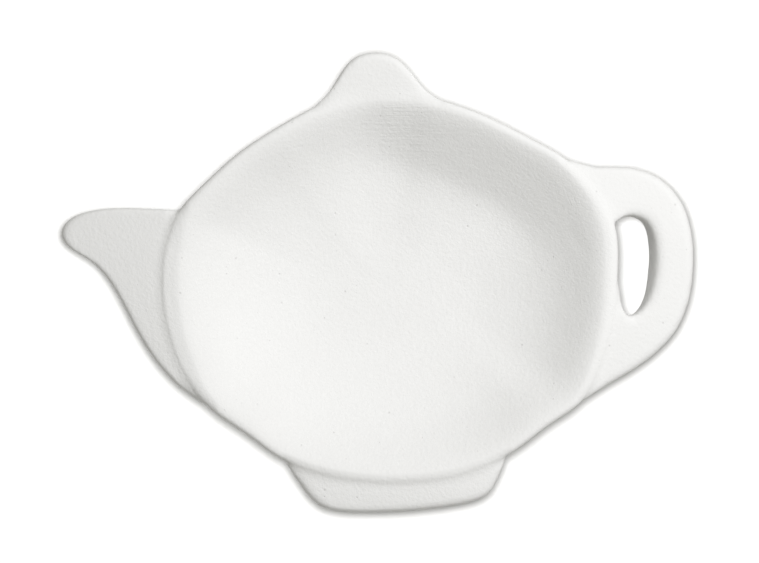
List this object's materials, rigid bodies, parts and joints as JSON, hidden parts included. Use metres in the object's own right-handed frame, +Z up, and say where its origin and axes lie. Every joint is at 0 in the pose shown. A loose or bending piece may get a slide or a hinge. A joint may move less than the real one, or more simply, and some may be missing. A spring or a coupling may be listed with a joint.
{
  "type": "tea bag rest",
  "caption": "Shallow white ceramic dish shaped like a teapot seen from the side, with a spout, an open loop handle, a lid knob and a foot, made to hold a used tea bag.",
  "frame": {"origin": "on the table, under the middle of the whole outline seen from above", "axes": "+X from the spout to the handle, +Y from the teapot's foot to its lid knob, +Z up out of the hollow"},
  "size_m": [0.1204, 0.0876, 0.0178],
  "materials": {
    "bisque": "matt unglazed bisque, fine grained, with a few tiny pits"
  },
  "bodies": {
    "root": {"dish": "bisque", "standing_ring": "bisque", "spout": "bisque", "handle": "bisque", "lid_knob": "bisque", "pot_foot": "bisque"}
  },
  "joints": []
}
